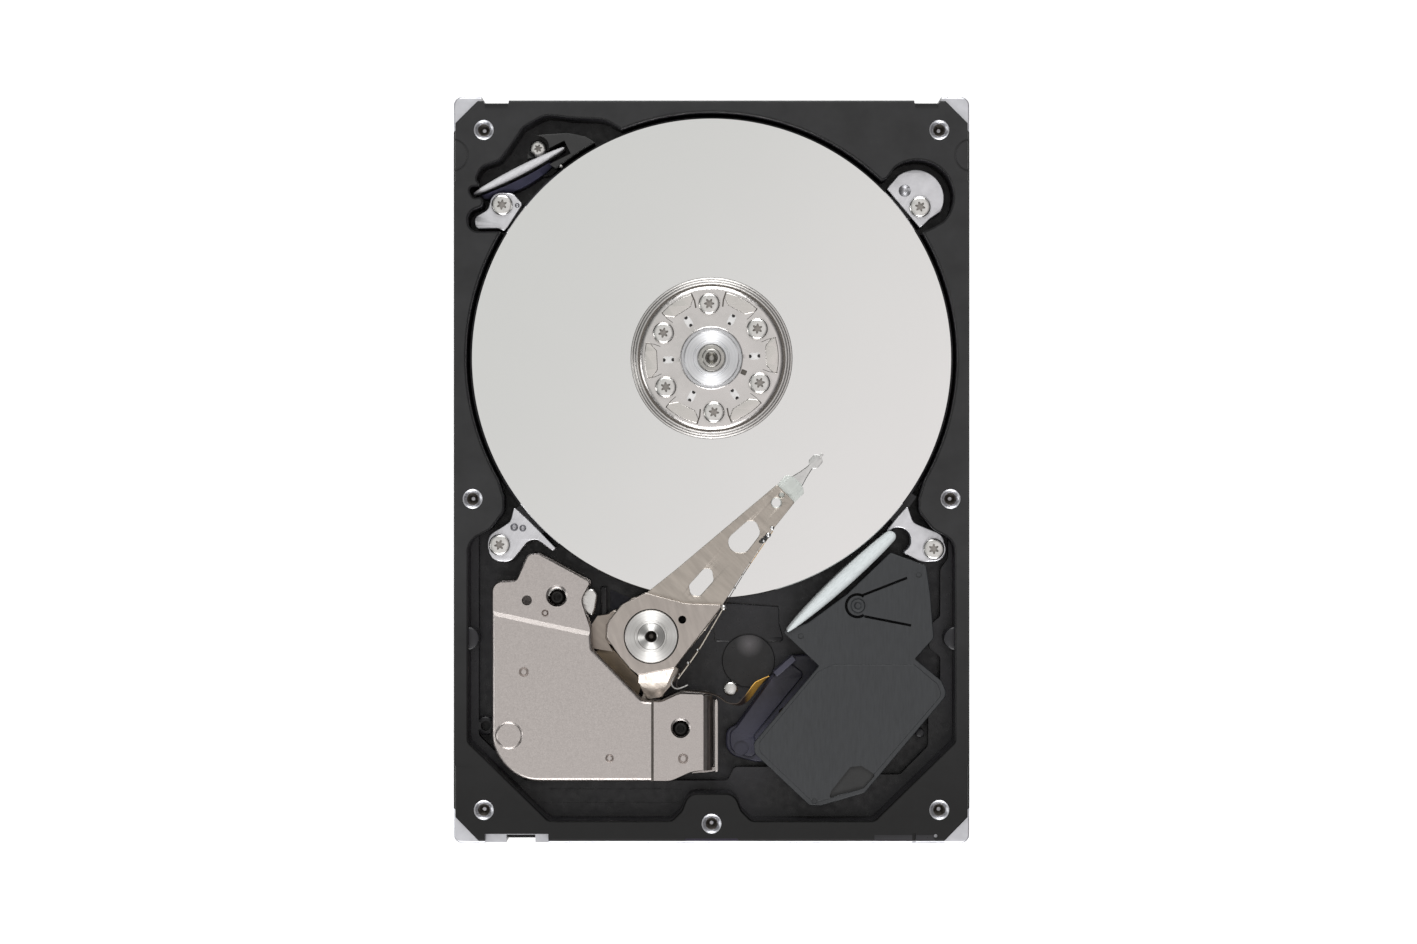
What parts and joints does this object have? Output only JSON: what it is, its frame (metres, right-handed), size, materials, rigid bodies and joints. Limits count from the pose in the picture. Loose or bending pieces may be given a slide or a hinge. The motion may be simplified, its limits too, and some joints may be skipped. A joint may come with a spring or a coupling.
{
  "type": "hard disk drive",
  "caption": "Open 3.5 inch hard disk drive: cast base, stacked mirror platters on a spindle, a swinging head arm with its magnet assembly, filters, flex circuit and circuit board.",
  "frame": {"origin": "centre of the footprint, on the plane of the base casting's underside", "axes": "+Y along the length, away from the connector end; +Z out of the open top; +X to the right seen from above with +Y up"},
  "size_m": [0.1016, 0.147, 0.0253],
  "materials": {
    "coated_casting": "satin black coating over cast aluminium",
    "aluminium": "machined and satin",
    "steel": "bright",
    "nickel_plate": "nickel plated",
    "magnet": "nickel plated magnet",
    "platter": "mirror polished",
    "copper_wire": "enamelled wire",
    "black_plastic": "satin",
    "filter_fibre": "felted",
    "flex_circuit": "satin",
    "circuit_board": "satin solder mask",
    "chip": "moulded",
    "foam": "soft"
  },
  "bodies": {
    "drive_body": {"base_casting": "coated_casting", "circuit_board": "circuit_board", "insulator_sheet": "foam", "controller_chip": "chip", "memory_chip": "chip", "serial_plug": "black_plastic", "jumper_block": "black_plastic", "board_screw_1": "steel", "board_screw_2": "steel", "board_screw_3": "steel", "board_screw_4": "steel", "stator_core": "steel", "stator_winding": "copper_wire", "bearing_sleeve": "steel", "spindle_shaft": "steel", "separator_lower": "aluminium", "separator_upper": "aluminium", "separator_screw_1": "steel", "separator_screw_2": "steel", "separator_screw_3": "steel", "separator_screw_4": "steel", "pivot_shaft": "steel", "upper_magnet_plate": "nickel_plate", "lower_magnet_plate": "nickel_plate", "upper_magnet": "magnet", "lower_magnet": "magnet", "yoke_standoff": "steel", "crash_stop": "steel", "locating_pin": "steel", "filter_holder": "black_plastic", "filter_screw": "steel", "recirculation_filter": "filter_fibre", "desiccant_filter": "filter_fibre", "flex_cable": "flex_circuit", "flex_bracket": "black_plastic", "head_connector": "black_plastic", "plastic_cover": "black_plastic"},
    "platter_stack": {"spindle_hub": "aluminium", "rotor_magnet": "magnet", "platter_lower": "platter", "platter_middle": "platter", "platter_upper": "platter", "platter_spacer_lower": "aluminium", "platter_spacer_upper": "aluminium", "disk_clamp": "steel", "clamp_screw_1": "steel", "clamp_screw_2": "steel", "clamp_screw_3": "steel", "clamp_screw_4": "steel", "clamp_screw_5": "steel", "clamp_screw_6": "steel"},
    "head_arm": {"arm_block": "aluminium", "voice_coil": "copper_wire", "pivot_sleeve": "steel", "head_suspension_1": "steel", "head_suspension_2": "steel", "head_suspension_3": "steel", "head_suspension_4": "steel", "head_suspension_5": "steel", "head_suspension_6": "steel"}
  },
  "joints": [
    {"name": "spindle_spin", "type": "hinge", "parent": "drive_body", "child": "platter_stack", "pos_m": [0, 0.0221, 0], "axis": [0, 0, 1], "continuous": true},
    {"name": "actuator_swing", "type": "hinge", "parent": "drive_body", "child": "head_arm", "pos_m": [-0.0119, -0.0328, 0], "axis": [0, 0, 1], "range_deg": [-20.8, 11], "deforming": ["flex_cable"]}
  ]
}
